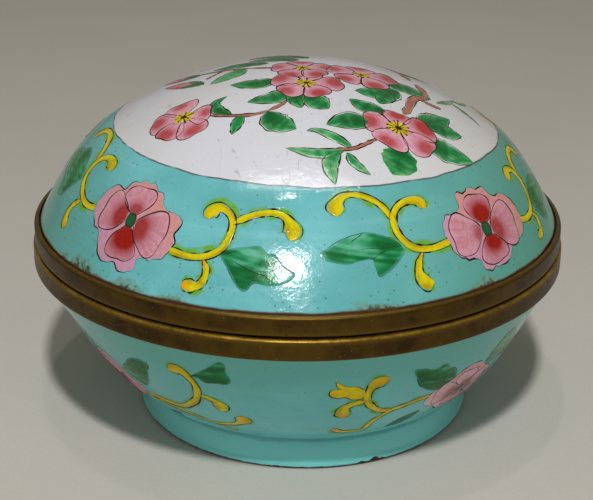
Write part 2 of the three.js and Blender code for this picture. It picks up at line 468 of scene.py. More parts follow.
def stroke(place, path, width, tint, lift=PAINT_LIFT, shift=0.0, across=5, edge=-SUNK_EDGE):
    """Paint carried along a path. width and shift (sideways, to the right) are in millimetres;
    tint gets the share along (0 to 1) and across (-1 to 1). Its two edges lie at the edge height,
    normally just under the ground. Gives spots, groups of faces, and tints."""
    u, v = path[:, 0], path[:, 1]
    nudge = 0.001
    core = place(u, v, 0.0)
    up = place(u, v, 1.0) - core
    over_u, over_v = (place(u + nudge, v, 0.0) - core) / nudge, (place(u, v + nudge, 0.0) - core) / nudge
    side = np.cross(np.gradient(core, axis=0), up)
    side /= np.maximum(np.linalg.norm(side, axis=1, keepdims=True), 1e-9)
    side_u = (side * over_u).sum(1) / (over_u ** 2).sum(1)
    side_v = (side * over_v).sum(1) / (over_v ** 2).sum(1)
    k = np.linspace(-1, 1, across)
    offset = np.broadcast_to(shift, u.shape)[:, None] + np.broadcast_to(width, u.shape)[:, None] / 2 * k
    rise = lift * (1 - 0.3 * k ** 2)
    rise[[0, -1]] = edge
    spots = place(u[:, None] + side_u[:, None] * offset, v[:, None] + side_v[:, None] * offset, rise)
    spots = spots.reshape(-1, 3)
    tints = np.broadcast_to(tint(np.linspace(0, 1, len(u))[:, None], k[None, :]), (len(u), across, 4))
    faces = grid_quads(len(u), across, columns_close=False)[:, [0, 3, 2, 1]]
    return spots, [facing_up(spots, np.repeat(up, across, axis=0), faces)], tints.reshape(-1, 4)


def filled(place, outline, heart, tint, lift, rings=8, edge=-SUNK_EDGE):
    """Paint filling a closed outline, in rings that shrink onto its heart. tint gets the share
    out from the heart, the share round the outline, and the flat place of every spot."""
    t = np.r_[np.linspace(0, 0.94, rings), 1][1:, None]
    heart = np.asarray(heart, float)
    u, v = np.moveaxis(heart + t[..., None] * (outline - heart), -1, 0)
    rise = lift * (1 - 0.25 * t ** 2)
    rise[-1] = edge
    count = len(outline)
    side = np.arange(count)
    tints = np.broadcast_to(tint(t, side[None, :] / count, u, v), u.shape + (4,))
    spots = np.vstack([place(*heart[:, None], np.array([lift])), place(u, v, rise).reshape(-1, 3)])
    up = (place(u, v, 1.0) - place(u, v, 0.0)).reshape(-1, 3)
    up = np.vstack([up[:1], up])
    fan = np.stack([np.zeros(count, int), 1 + side, 1 + (side + 1) % count], -1)
    faces = [facing_up(spots, up, group) for group in (grid_quads(rings, count) + 1, fan)]
    return spots, faces, np.vstack([tints[:1].mean(axis=1), tints.reshape(-1, 4)])


def painted_piece(name, patches, material):
    """One mesh of many patches of paint, with their tints as the point attribute "paint"."""
    spots, groups, tints = zip(*patches)
    starts = np.cumsum([0] + [len(patch) for patch in spots])
    faces = [face for start, patch in zip(starts, groups)
             for group in patch for face in (group + start).tolist()]
    piece = solid_piece(name, np.vstack(spots), faces, sharp_angle=180)
    layer = piece.data.color_attributes.new("paint", "FLOAT_COLOR", "POINT")
    layer.data.foreach_set("color", np.vstack(tints).astype(np.float32).ravel())
    piece.data.materials.append(material)
    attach(piece, "root")


def brushline(place, path, width, seed, lift=PAINT_LIFT + 0.02, shift=0.0, colour=OUTLINE, gaps=0.35):
    """A thin dark line that swells, thins and all but breaks, as a loaded brush does: the wider
    its gaps, from 0 to 1, the more it breaks."""
    s = np.linspace(0, 1, len(path))
    ends = np.clip(14 * np.minimum(s, 1 - s), 0.25, 1)
    swells = 2 + len(path) // 14
    held = np.clip(1 - gaps + 1.4 * gaps * ripple(s, seed + 1, swells), 0, 1)
    thick = np.maximum(width * (0.9 + 0.35 * ripple(s, seed, swells)) * ends * held, 0.03)
    return stroke(place, path, thick, lambda along, across: cover(colour), lift, shift, 3, lift - SUNK_EDGE)


def leaf(place, path, width, seed, fat_end=0.42, tones=LEAF_TONES, outlined=0.7, veins=3, lift=PAINT_LIFT):
    """A leaf along a path from stalk to tip: widest at fat_end, dark at the stalk and the midrib,
    pale towards the edges, with side veins leaning to the tip and a broken outline."""
    deep, mid, pale = tones
    path = smooth_path(path, 26)
    s = np.linspace(0, 1, 26)
    half = np.sin(math.pi * s ** (math.log(0.5) / math.log(fat_end))) ** 0.8
    spread = np.maximum(width * (half * (1 + 0.06 * ripple(s, seed + 5))), 0.08)

    def tint(along, across):
        shaded = np.clip(1.35 - 1.5 * along + 0.35 * ripple(along, seed), 0, 1) * (1 - 0.7 * across ** 2)
        lit = np.abs(across) * 1.5 - 0.45 + 0.45 * ripple(0.7 * along + 0.3 * across, seed + 2)
        return cover(mix(mix(mid, pale, lit), deep, shaded))

    vein_colour = mix(mid, OUTLINE, 0.75)
    patches = [stroke(place, path, spread, tint, lift, across=9),
               brushline(place, path[:23], 0.24, seed + 7, lift + 0.015, colour=vein_colour)]
    for index in range(veins):
        first = int((0.2 + 0.55 * index / veins) * 25)
        vein = slice(first, first + 7)
        for side in (-1, 1):
            reach = side * np.linspace(0, 0.36, 7) * spread[vein]
            patches.append(brushline(place, path[vein], 0.16, seed + index, lift + 0.012, reach,
                                     vein_colour))
    for side in (-1, 1) if outlined else ():
        patches.append(brushline(place, path, 0.48 * outlined, seed + 11 + side, lift + 0.01,
                                 side * spread / 2, gaps=0.28))
    return patches


def petal(place, heart, direction, length, spread, redness, seed, blush=0.78, line=0.28, scale=(1.0, 1.0),
          lift=PAINT_LIFT, tones=(PETAL_RED, PETAL_PINK, PETAL_PALE)):
    """One petal: an egg whose middle lies 0.57 of the length out from the heart, 0.86 of the length
    long, wider at its outer end, wavy, and notched there. It washes from pale to pink with fine
    streaks fanning out, with a soft red blush at a share of its length, which reaches further the
    redder it is, and a dark brush line round it."""
    red, pink, pale = tones
    cos, sin = math.cos(math.radians(direction)), math.sin(math.radians(direction))
    turn = np.linspace(-math.pi, math.pi, 44, endpoint=False)
    wave = 1 + 0.035 * ripple(turn / (2 * math.pi), seed)
    notched = 1 - 0.13 * np.exp(-((turn - 0.25 * math.sin(seed)) / 0.3) ** 2)
    out = length * (0.57 + 0.43 * np.cos(turn) * wave * notched)
    wide = length * 0.69 * math.tan(math.radians(spread / 2))
    sideways = wide * np.sin(turn) * (1 + 0.42 * np.cos(turn)) * wave
    outline = heart + np.stack([out * cos - sideways * sin, out * sin + sideways * cos], -1) * scale
    middle = heart + np.array([cos, sin]) * scale * length * 0.55

    def tint(t, around, u, v):
        right, up = (u - heart[0]) / scale[0] / length, (v - heart[1]) / scale[1] / length
        along, aside = right * cos + up * sin, up * cos - right * sin
        streak = ripple(np.arctan2(aside, along + 0.05) * 0.9, seed, 14)
        away = (along - blush) ** 2 + (aside - 0.08 * math.sin(seed)) ** 2 * 0.7
        near = np.exp(-away / (0.1 + 0.22 * redness) ** 2)
        rosy = np.clip(1.5 * near + 0.05 * streak, 0, 1) * min(0.6 + 0.4 * redness, 1)
        washed = 0.55 + 0.4 * streak - 0.4 * along + 0.5 * t ** 3
        return cover(mix(mix(pink, pale, washed), red, rosy))

    loop = np.vstack([outline, outline[:2]])
    return [filled(place, outline, middle, tint, lift),
            brushline(place, loop, line, seed + 3, lift + 0.016, gaps=0.18)]


def blossom(place, heart, petals, seed, centre, dots=9):
    """Petals round a dark heart, with short yellow stamens standing out from it and dark ones
    between, each with a dot of pollen."""
    heart = np.asarray(heart, float)
    patches = []
    for index, shape in enumerate(petals):
        patches += petal(place, heart, *shape, seed + 20 * index, lift=PAINT_LIFT + 0.008 * index)
    chance = np.random.default_rng(seed)
    top = PAINT_LIFT + 0.06

    def stamen(angle, start, end, width, colour, rise, index):
        away = np.array([math.cos(angle), 0.9 * math.sin(angle)])
        ray = smooth_path([heart + away * start, heart + away * end], 6)
        patches.append(brushline(place, ray, width, seed + index, top + rise, colour=colour, gaps=0.05))

    ring = np.arange(16) / 16 * 2 * math.pi
    disc = heart + 0.5 * centre * np.stack([np.cos(ring), np.sin(ring) * 0.9], -1)
    patches.append(filled(place, disc, heart, lambda t, a, u, v: cover(STAMEN_DARK), top, 3, top - 0.03))
    for index in range(2 * dots):
        angle = math.pi * (index + 0.5 * chance.random()) / dots
        shade = STAMEN_YELLOW * chance.uniform(0.75, 1.1)
        stamen(angle, 0.25 * centre, centre * chance.uniform(0.75, 1.1), 0.62, shade, 0.012, index)
    for index in range(dots):
        angle = 2 * math.pi * (index + 0.5 * chance.random()) / dots
        reach = centre * chance.uniform(0.6, 1.15)
        stamen(angle, 0.1, reach, 0.36, STAMEN_DARK, 0.02, index)
        stamen(angle, reach - 0.2, reach + 0.2, 0.5, STAMEN_DARK, 0.024, index)
    return patches


def twig(place, points, width, seed):
    """A stem of uneven thickness, pale along its middle, with a dark line on each side."""
    path = smooth_path(points, 8 * len(points))
    s = np.linspace(0, 1, len(path))
    thick = width * (1 + 0.25 * ripple(s, seed)) * np.clip(8 * np.minimum(s, 1 - s) + 0.4, 0, 1)

    def tint(along, across):
        return cover(mix(TWIG_BROWN, TWIG_BROWN * 1.5, 0.6 - np.abs(across) + 0.3 * ripple(along, seed + 2)))

    return [stroke(place, path, thick, tint),
            *(brushline(place, path, 0.3, seed + side, PAINT_LIFT + 0.01, side * thick / 2, gaps=0.25)
              for side in (-1, 1))]


def bud(place, base, tip, width, seed):
    """A closed bud, red at its sides, with two green sepals clasping its base."""
    path = smooth_path([base, tip], 14)
    s = np.linspace(0, 1, 14)
    body = np.maximum(width * np.sin(math.pi * np.maximum(s, 0.02) ** 0.8) ** 0.7, 0.1)

    def tint(along, across):
        return cover(mix(PETAL_PINK, PETAL_RED, np.abs(across) + 0.3 * ripple(along, seed)))

    patches = [stroke(place, path, body, tint, across=7),
               *(brushline(place, path, 0.24, seed + side, PAINT_LIFT + 0.01, side * body / 2)
                 for side in (-1, 1))]
    base, reach = np.array(base, float), np.array(tip, float) - base
    aside = np.array([-reach[1], reach[0]]) / np.linalg.norm(reach)
    for side in (-1, 1):
        sepal = [base - reach * 0.15, base + reach * 0.42 + aside * side * width * 0.42]
        patches += leaf(place, sepal, width * 0.42, seed + side, veins=0, lift=PAINT_LIFT + 0.02)
    return patches


# Everything on the white field, in millimetres from the lid's middle, +x right, -y front.
SPRAY = [
    # Far side: what can't be seen from the front carries the same branch on, more simply.
    (twig, [(22, 5), (20, 11), (16, 17), (9, 22)], 1.4, 301),
    (leaf, [(20, 11), (24, 14), (27, 18)], 4.6, 302),
    (leaf, [(16, 17), (17, 22), (15, 27)], 4.4, 303),
    (leaf, [(9, 22), (4, 24), (-1, 23)], 4.4, 304),
    (leaf, [(2, 8), (-4, 11), (-10, 11)], 4.8, 305),
    (bud, (9, 22), (5, 27), 3.4, 306),
    # Leaves that lie under the blossoms.
    (leaf, [(-4.5, -8), (-8, -8.8), (-13, -7.5)], 4.2, 310, 0.35),
    (leaf, [(0.5, -12.5), (-4.5, -14.8), (-9.5, -15.6)], 4.4, 311, 0.45),
    (leaf, [(1, -13), (3, -16), (5.5, -18.4)], 5.2, 312, 0.55),
    (leaf, [(-1, -13), (-0.5, -16), (0.5, -18.6)], 3.4, 313),
    (leaf, [(19, -6), (15, -9.5), (10.5, -10.5)], 6.0, 314, 0.4),
    (leaf, [(17, -8), (16, -11), (15, -13.6)], 3.8, 315),
    (leaf, [(17, -4), (21, -3), (25.5, -4)], 5.0, 316),
    (leaf, [(-10.5, 1), (-13, -2), (-17, -4.6)], 4.2, 317, 0.42, PALE_TONES),
    (leaf, [(-6, 3), (-12, 4.5), (-17, 5)], 3.8, 318),
    (leaf, [(0, 5), (-5, 6.5), (-10, 7)], 4.0, 319),
    (leaf, [(22, -17), (25.5, -13.5), (28.5, -10)], 5.0, 320, 0.4),
    (leaf, [(23.5, -16), (27, -15.5), (30.5, -14.6)], 4.6, 321, 0.5),
    (leaf, [(22.5, -20.5), (26.5, -21.8), (32.2, -21.4)], 6.2, 322, 0.42),
    (leaf, [(18.3, -24.5), (18, -28.5), (16.6, -32.2)], 7.4, 323, 0.5, LEAF_TONES, 0),
    (leaf, [(16, -16), (12.6, -16), (9.3, -14.2)], 4.4, 324, 0.42),
    (leaf, [(13.4, -20.6), (9.6, -21), (5, -23)], 5.0, 325, 0.4),
    # The branch down to the big blossom, with its broken side shoots.
    (twig, [(23, 3), (24.3, -1), (24.3, -3.8), (22.3, -6.4), (21.2, -9), (20.6, -12), (19.5, -15)],
     1.7, 330),
    (twig, [(22.6, -5.9), (25.4, -6.9), (27.2, -6.6)], 1.1, 331),
    (twig, [(-20, 4.6), (-14.5, 2.4), (-9, 0.4), (-4.5, -1)], 0.7, 332),
    (twig, [(-18, -0.8), (-15, 2.2)], 0.6, 333),
    # Blossoms.
    (blossom, (12, -2), [(15, 7.5, 64, 0.7), (90, 5.4, 70, 0.6), (165, 6.8, 62, 0.45), (232, 6.2, 62, 0.6),
     (305, 6.6, 62, 0.65)], 340, 1.7),
    (blossom, (0.6, -1.6), [(20, 6.2, 64, 0.5), (95, 5.4, 66, 0.5), (165, 6.2, 64, 0.4),
     (235, 5.6, 64, 0.6), (308, 5.8, 64, 0.7)], 350, 1.7),
    (blossom, (1.4, -9.4), [(8, 7.2, 60, 0.7), (80, 5.2, 66, 0.4), (160, 7.0, 60, 0.6), (225, 6.4, 62, 0.5),
     (300, 5.8, 66, 0.7)], 360, 1.9),
    (blossom, (18.2, -20.2), [(93, 5.2, 70, 0.8), (176, 6.6, 66, 0.6), (24, 7.4, 62, 0.85),
     (-34, 7.4, 62, 0.5), (-112, 6.4, 72, 0.55)], 370, 2.3, 13),
    (blossom, (-21.3, -15.8), [(100, 5.8, 76, 0.4), (172, 6.4, 66, 0.6), (235, 6.2, 62, 0.65),
     (292, 7.2, 58, 0.5), (-12, 5.4, 72, 0.45)], 380, 2.1, 7),
    (bud, (-19.3, -2.6), (-26.4, 3.4), 3.2, 390),
    (bud, (-20.5, 4.5), (-27, 8.5), 3.0, 391),
    # The small sprigs in front.
    (twig, [(-16.4, -17.6), (-12, -19.3), (-8, -19.8), (-4.5, -18.5), (-2.2, -16.4)], 0.75, 400),
    (leaf, [(-12.2, -19), (-14.6, -17), (-15.6, -14), (-13.4, -12.2)], 2.4, 401, 0.42, LEAF_TONES, 0.7, 1),
    (leaf, [(-10.4, -19.5), (-11.2, -22), (-12, -24.6)], 2.4, 402, 0.42, MID_TONES, 0.7, 1),
    (leaf, [(-5.6, -19.4), (-4.2, -22.4), (-0.4, -24.6)], 5.4, 403, 0.45),
    (twig, [(14.2, -24.6), (11.5, -27), (9.4, -28.4), (6.4, -29)], 0.7, 410),
    (leaf, [(9.6, -28.2), (6.6, -26.2), (3.2, -24.7), (1.4, -25)], 2.1, 411, 0.42, YOUNG_TONES, 0.75, 0),
    (leaf, [(8.2, -29), (3.4, -30.3), (-2.2, -29.2)], 2.3, 412, 0.42, YOUNG_TONES, 0.75, 0),
    (leaf, [(7.2, -29.3), (5.6, -32.4), (6.4, -36.4)], 2.9, 413, 0.42, YOUNG_TONES, 0.75, 0),
    (leaf, [(8.6, -29.4), (10, -31.6), (12.7, -33.4)], 2.0, 414, 0.42, YOUNG_TONES, 0.75, 0),
    # Faint grass-like twigs at the right.
    (leaf, [(26.5, -4.5), (29, -1), (30.5, 3)], 1.3, 420, 0.42, GRASS_TONES, 0.25, 0),
    (leaf, [(30, 0), (33, -2.5), (35, -5)], 1.2, 421, 0.42, GRASS_TONES, 0.25, 0),
    (leaf, [(30, 2), (32.5, 4), (33.5, 8)], 1.1, 422, 0.42, GRASS_TONES, 0.25, 0),
]

lid_paint = enamel("lid paint", lid_ground, True)
spray = [patch for paint, *recipe in SPRAY for patch in paint(on_crown, *recipe)]
painted_piece("medallion_spray", spray, lid_paint)

# ---------------------------------------------------------------------------------------------
# The flowers round the lid's shoulder: four-petalled blooms on a ragged pink ground, four in all,
# the second pair half a turn round from the first.
DEGREE = math.pi / 180 * 46.0  # millimetres round the shoulder to one degree, at its middle
HALF_TURNS = (0, 180)
RAGGED_PEACH = rgb(204, 142, 138)
RAGGED_MAUVE = rgb(200, 144, 170)
BLOOM_TONES = (rgb(152, 20, 8), rgb(194, 126, 140), rgb(208, 156, 172))
HEART_GREEN = rgb(24, 92, 56)


def on_lid(turn, climb, lift):
    """A spot on the lid at a turn in degrees and a climb in millimetres above the crown's edge,
    which is negative all the way down the shoulder."""
    return on_line(LID_LINE, turn, CROWN_RUN - climb, lift)


def bloom(place, heart, ragged, petals, seed, centre=(1.15, 1.4), tones=BLOOM_TONES,
          grounds=(RAGGED_PEACH, RAGGED_MAUVE), line=0.27):
    """A ragged pink ground, four petals, red near the heart and pale outside, and a green heart."""
    heart = np.array(heart, float)
    edge = smooth_path(ragged, 150, closed=True)
    fray = 1 + 0.018 * ripple(np.arange(150) / 150, seed, 40)[:, None]
    edge = heart + (edge - heart) * fray

    def tint(t, around, u, v):
        lean = 0.5 - 0.09 * (v - heart[1]) - 0.035 * (u - heart[0]) + 0.2 * ripple(around, seed)
        return cover(mix(*grounds, np.clip(lean, 0, 1)), np.clip((1.02 - t) * 14, 0.35, 1))

    loop = heart + (np.vstack([edge, edge[:3]]) - heart) * 0.985
    patches = [filled(place, edge, heart, tint, 0.035, 7),
               brushline(place, loop, 0.34, seed + 1, 0.05, gaps=0.6)]
    for index, shape in enumerate(petals):
        patches += petal(place, heart, *shape, seed + 9 * index, 0.16 + 0.2 * shape[3], line,
                         (1 / DEGREE, 1), 0.05 + 0.006 * index, tones)
    ring = np.arange(24) / 24 * 2 * math.pi
    square = np.stack([np.cos(ring), np.sin(ring)], -1)
    oval = heart + np.sign(square) * np.abs(square) ** 0.75 * (centre[0] / DEGREE, centre[1])
    patches.append(filled(place, oval, heart, lambda t, *spot: cover(mix(HEART_GREEN, OUTLINE, t ** 4)),
                          0.1, 4, 0.07))
    return patches


LEFT_BLOOM = [(-42, -2.8), (-44.5, -3.6), (-46.5, -4), (-47.5, -5.8), (-50, -5.6), (-52, -6.2), (-54, -8.5),
              (-54, -11), (-53.2, -12.8), (-52, -14), (-49, -15), (-47.8, -17), (-46.5, -18.6), (-44, -19.5),
              (-41.5, -18.8), (-39.5, -19.9), (-37.5, -20), (-35.5, -18.8), (-35, -16.7), (-31.5, -16.5),
              (-28.6, -15), (-27.3, -12.8), (-27.5, -10.8), (-26.6, -9), (-28.5, -7.6), (-31, -7.2),
              (-33.5, -6.3), (-34.6, -4.5), (-37, -4), (-38.6, -2.8), (-40, -3.2)]
LEFT_PETALS = [(95, 6.7, 78, 0.6), (176, 8.4, 64, 0.8), (-91, 7.7, 62, 1.3), (-11, 8.9, 66, 0.75)]
RIGHT_BLOOM = [(34, -10), (36, -8.3), (38.6, -8.6), (41, -7.6), (42, -5), (45, -5.4), (47.5, -4.6),
               (50, -5.6), (52.4, -5.6), (54.3, -8.2), (57.5, -8.2), (60, -9.8), (61, -12), (61, -14.6),
               (59.5, -16.6), (57, -17.5), (54, -17.2), (52, -18.8), (50, -20), (46, -20.2), (42.4, -20),
               (41, -17.6), (38, -17), (35.6, -15.8), (34.3, -13)]
RIGHT_PETALS = [(84, 6.9, 72, 1.25), (176, 8.8, 64, 0.3), (-6, 9.2, 66, 0.65), (-88, 6.5, 74, 1.1)]


def lid_blooms():
    """The left and the right bloom of each face, each with its own ragged ground and petals."""
    blooms = [((-40.7, -10.7), LEFT_BLOOM, LEFT_PETALS, 500), ((46.5, -13), RIGHT_BLOOM, RIGHT_PETALS, 540)]
    parts = []
    for half in HALF_TURNS:
        for (turn, climb), ragged, petals, seed in blooms:
            parts += bloom(on_lid, (turn + half, climb), np.array(ragged) + (half, 0), petals, seed + half)
    return parts


painted_piece("lid_flowers", lid_blooms(), lid_paint)

# ---------------------------------------------------------------------------------------------
# The yellow scrolls between the flowers: one stroke of yellow with a bulb at its end and an
# orange blush, a dark line down its shaded side, and a yellow-green wash bled out round it.
SCROLL_WIDTH = 1.35
SCROLL_YELLOW = rgb(216, 200, 6)
SCROLL_OLIVE = rgb(156, 138, 8)
SCROLL_ORANGE = rgb(222, 138, 12)
SCROLL_HALO = rgb(104, 166, 34)


def scroll(place, points, seed, bulb, orange, width=SCROLL_WIDTH, start_taper=False):
    """A scroll from its root to its bulb. bulb is the bulb's width over the stem's, and orange is
    how strongly the blush shows."""
    path = smooth_path(points, 12 * len(points))
    run = lengths_along(place(path[:, 0], path[:, 1], 0.0))
    to_end = run[-1] - run
    s = run / run[-1]
    cap = width * bulb / 2
    swelling = np.exp(-((to_end - cap) / 1.9) ** 2)
    thick = width * (1 + (bulb - 1) * swelling) * (1 + 0.07 * ripple(s, seed))
    thick = thick * np.sqrt(np.clip(1 - (np.clip(cap - to_end, 0, cap) / cap) ** 2, 0.03, 1))
    if start_taper:
        thick = thick * np.clip(0.3 + run / 2.5, 0, 1)

    def bled(along, across):
        near = np.clip(2.6 - 2.7 * np.abs(across), 0, 1)
        patchy = (0.8 + 0.45 * ripple(along + 0.15 * np.sign(across), seed + 1)).clip(0.2, 1)
        return cover(SCROLL_HALO, 0.95 * near * patchy)

    def yellow(along, across):
        share = np.interp(along, np.linspace(0, 1, len(s)), s)
        tip = np.clip((share - 0.75) / 0.25, 0, 1) * orange
        root = np.clip(0.35 - share * 1.6, 0, 0.35) * orange * 2
        olive = np.clip(0.3 * ripple(share, seed + 3, 4) + 0.5 * (across > 0.3), 0, 0.75)
        olive = np.clip(olive + 0.35 * (np.abs(across) > 0.9), 0, 1)
        return cover(mix(mix(SCROLL_YELLOW, SCROLL_OLIVE, olive), SCROLL_ORANGE, tip + root))

    lean = 0.34 * ripple(s, seed + 4, 3)
    return [stroke(place, path, thick + 1.6, bled, 0.025, lean, across=11),
            stroke(place, path, thick, yellow, PAINT_LIFT, across=7),
            brushline(place, path, 0.34, seed + 5, PAINT_LIFT + 0.01, thick / 2, gaps=0.22),
            brushline(place, path, 0.28, seed + 6, PAINT_LIFT + 0.01, -thick / 2, gaps=0.42)]


def lid_scrolls():
    """Each bloom has a main scroll on either side, with an upper and a lower branch."""
    scrolls = [
        # Right of the left bloom.
        ([(-28, -13.9), (-23, -14.3), (-19, -13.6), (-16.3, -12), (-15, -9.5), (-15, -7.2), (-16.4, -5.6),
         (-18.9, -4.9), (-20.9, -6.2), (-20.9, -7.2)], 2.2, 0.15),
        ([(-15, -7.6), (-12.5, -6.4), (-9, -5.3), (-5.5, -5), (-2.7, -5.9), (-1.1, -8.2), (-1.6, -9.9)],
         2.5, 0.1),
        ([(-20, -14.4), (-18.9, -16), (-19.1, -18), (-20.4, -19.1), (-23.6, -19.3)], 1.75, 0.95),
        # Left of the right bloom.
        ([(34.8, -13), (30, -13.4), (26, -12.8), (23.5, -11), (22.4, -8.8), (22.7, -6.6), (24.5, -5),
         (27.5, -4.2), (30.5, -4.6), (31.6, -6.2)], 1.9, 0.3),
        ([(22.8, -7.8), (20.5, -4.4), (17.5, -2.5), (14, -1.6), (11, -2), (9.3, -3.6), (9, -5.6)],
         2.3, 0.15),
        ([(27.3, -13.8), (26, -15.5), (25.6, -17.4), (26.6, -19), (28.4, -19.2)], 2.2, 0.05),
        # Left of the left bloom.
        ([(-53.8, -11.4), (-58, -11.7), (-62, -10.7), (-65.5, -8.5), (-66.6, -5.6), (-65.4, -3.3),
         (-62, -2.3), (-58.6, -3.2), (-58, -4.4)], 2.0, 0.15),
        ([(-66.6, -4.6), (-69, -1.8), (-73, 0.1), (-78, 0.6), (-82, -0.6), (-83.3, -3)], 1.8, 0.9),
        ([(-61, -11.7), (-63.6, -13.6), (-64, -16), (-62.3, -18)], 1.8, 0.9),
        # Right of the right bloom.
        ([(60.4, -14.8), (64, -15.3), (68, -14.5), (70.5, -12), (71.5, -9), (70.6, -6.8), (67.6, -6),
         (65.2, -7.6)], 1.6, 0.3),
        ([(71.6, -8.6), (74, -5.8), (78, -4.6), (82, -4.8), (84.6, -7)], 1.7, 0.2),
        ([(67, -15.2), (68.5, -17), (67.5, -19.3), (65, -19.8)], 1.4, 0.2),
    ]
    parts = []
    for half in HALF_TURNS:
        for index, (points, bulb, orange) in enumerate(scrolls):
            parts += scroll(on_lid, np.array(points) + (half, 0), 600 + 10 * index + half, bulb, orange,
                            start_taper=index % 3 > 0)
    return parts


painted_piece("lid_scrolls", lid_scrolls(), lid_paint)

# ---------------------------------------------------------------------------------------------
# The lid's big leaves: loose washes of green glass with lobed edges, darker where the brush was
# loaded, with dark veins. One goes with each main scroll, and its short stalk joins the scroll.


def washed_leaf(place, outline, heart, blots, seed, veins, outlined=0.35, count=90, body=0.42):
    """A lobed leaf, brushed from side to side in strands. body is how deep its green is; blots are
    (turn, climb, reach in mm, deep share) patches of darker or, when negative, paler green; veins
    are brush lines through given points."""
    edge = smooth_path(outline, count, closed=True)
    heart = np.array(heart, float)

    def tint(t, around, u, v):
        right = u * DEGREE
        strands = 0.19 * ripple((v + 0.22 * right) / 12, seed, 13)
        strands = strands + 0.15 * ripple((v - 0.3 * right) / 15, seed + 5, 9)
        deep = body + strands + 0.1 * ripple(right / 17 + v / 31, seed + 1, 7) + 0.12 * t ** 6
        for blot_u, blot_v, reach, share in blots:
            away = ((u - blot_u) * DEGREE) ** 2 + (v - blot_v) ** 2
            deep = deep + share * np.exp(-away / reach ** 2)
        thin = mix(LEAF_PALE * np.array([0.85, 1.0, 1.1]), LEAF_MID, deep * 2)
        return cover(mix(thin, LEAF_DEEP, deep * 2 - 1),
                     np.clip((1.03 - t) * 6.5, 0.12, 1) * np.clip(0.6 + 0.6 * deep, 0.6, 0.98))

    loop = heart + (np.vstack([edge, edge[:2]]) - heart) * 0.965
    return [filled(place, edge, heart, tint, 0.03, 12),
            brushline(place, loop, 0.4 * outlined, seed + 2, 0.045, gaps=0.95,
                      colour=mix(LEAF_DEEP, OUTLINE, 0.5)),
            *(brushline(place, smooth_path(points, 6 * len(points)), 0.3, seed + 3 + index, 0.05,
                        colour=mix(LEAF_DEEP, OUTLINE, 0.6), gaps=0.4)
              for index, points in enumerate(veins))]


def leaves_round(place, leaves, half, *look):
    """The leaves of one face, turned round from where they are written down by half degrees."""
    parts = []
    for outline, (turn, climb), blots, seed, veins in leaves:
        parts += washed_leaf(place, np.array(outline) + (half, 0), (turn + half, climb),
                             [(u + half, *blot) for u, *blot in blots], seed + half,
                             [np.array(vein) + (half, 0) for vein in veins], *look)
    return parts


def lid_leaves():
    """The lobed leaf that goes with each main scroll, and its short dark stalk."""
    leaves = [
        ([(-17.4, -12.2), (-15, -11.9), (-11, -11.3), (-8, -11), (-6.2, -12.3), (-4.6, -12.4),
         (-2.5, -14.4), (0, -15.8), (-2, -17.4), (-5.5, -18), (-8.6, -17.6), (-10.2, -19.2), (-12, -18.6),
         (-14.2, -16), (-16.6, -13.4)], (-10, -14.8), [(-12.5, -16.4, 2.6, 0.55), (-15.5, -13.4, 1.8, 0.4),
         (-5, -14.6, 2.6, -0.15), (-8, -16.4, 2.4, 0.3), (-10.5, -12.8, 2, -0.3), (-6, -12.6, 1.4, 0.3)],
         700, [[(-16.8, -12.4), (-13, -14.2), (-9, -15.6), (-4.5, -16.4)], [(-13, -12.2), (-15, -12.8),
         (-16.8, -12.4)], [(-3.2, -14.2), (-5.6, -15.4), (-8.6, -15.4)]]),
        ([(23.4, -11.2), (20, -10), (16, -8.9), (12, -9.2), (8.5, -10.1), (6.2, -11.2), (4.3, -12.3),
         (6, -13.6), (10, -14.3), (13, -13.9), (15.8, -13.8), (16.4, -15), (16.8, -17), (19.4, -16.2),
         (22, -14.6), (24, -12.7)], (15.5, -12), [(19.5, -11.8, 2.6, 0.6), (8.5, -13.2, 1.8, 0.5),
         (19, -15.4, 1.8, 0.3), (12, -10.6, 2.2, -0.35), (7, -11.8, 1.6, 0.1), (14.5, -12.6, 1.8, 0.1)],
         720, [[(23, -12), (19, -12), (15, -11.8), (10, -12)], [(15.6, -13.8), (18, -12.8), (20.4, -12.2)],
         [(11.6, -10.4), (13.4, -9.6), (14.6, -9)]]),
        ([(-67, -8.6), (-70, -6.4), (-73.6, -4.2), (-77.4, -3.8), (-80.5, -5.4), (-85, -6.2), (-88, -9),
         (-85, -11.4), (-80.5, -12.4), (-77, -15), (-73.5, -14.6), (-70.6, -12)], (-76, -9),
         [(-76, -6, 2.4, 0.5), (-72, -12.6, 2.2, 0.6), (-82, -8.6, 2.6, 0.1)], 740, [[(-67.6, -9),
         (-72, -8.8), (-77, -9), (-83, -9)]]),
        ([(69.6, -13), (73, -11), (77.6, -10.4), (82, -11.2), (87, -13.6), (84, -16), (79, -17),
         (76, -19.4), (72.6, -18.4), (70.4, -15.8)], (77, -14), [(74, -13.6, 2.4, 0.5),
         (82, -13.6, 2.4, 0.2), (75, -17.4, 2, 0.4)], 760, [[(70, -13.6), (75, -13.6), (80, -13.8),
         (85, -13.8)]]),
    ]
    return [part for half in HALF_TURNS for part in leaves_round(on_lid, leaves, half)]


painted_piece("lid_leaves", lid_leaves(), lid_paint)

